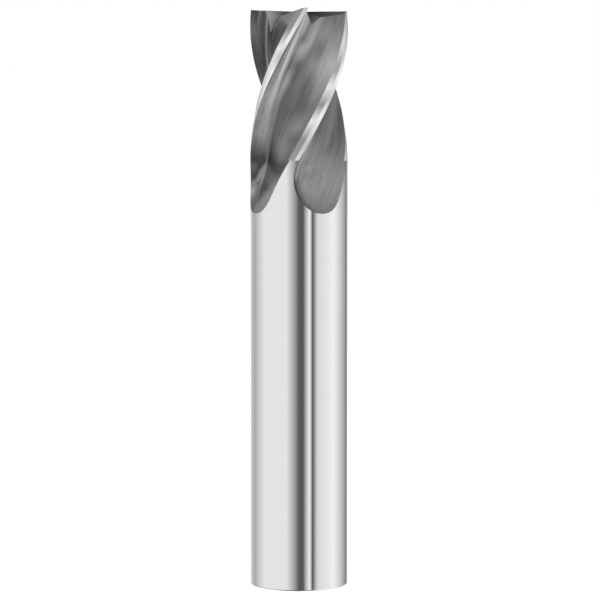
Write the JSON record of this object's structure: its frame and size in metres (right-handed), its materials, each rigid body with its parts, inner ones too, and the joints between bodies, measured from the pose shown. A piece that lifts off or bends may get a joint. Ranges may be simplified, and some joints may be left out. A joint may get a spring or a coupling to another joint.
{
  "type": "end mill",
  "caption": "Square-ended, centre-cutting helical end mill with ground flutes and a plain cylindrical shank of the same diameter as its cutting part.",
  "frame": {"origin": "centre of the shank's flat back face", "axes": "+Z along the tool's axis, from the shank towards the cutting end; +X through the corner of one short end tooth"},
  "size_m": [0.0128, 0.0128, 0.075],
  "materials": {
    "carbide": "ground, bright, with fine grinding marks along the flutes",
    "silver_braze": "ground flush, satin",
    "shank_steel": "ground and polished"
  },
  "bodies": {
    "root": {"cutting_head": "carbide", "braze_joint": "silver_braze", "shank": "shank_steel"}
  },
  "joints": []
}
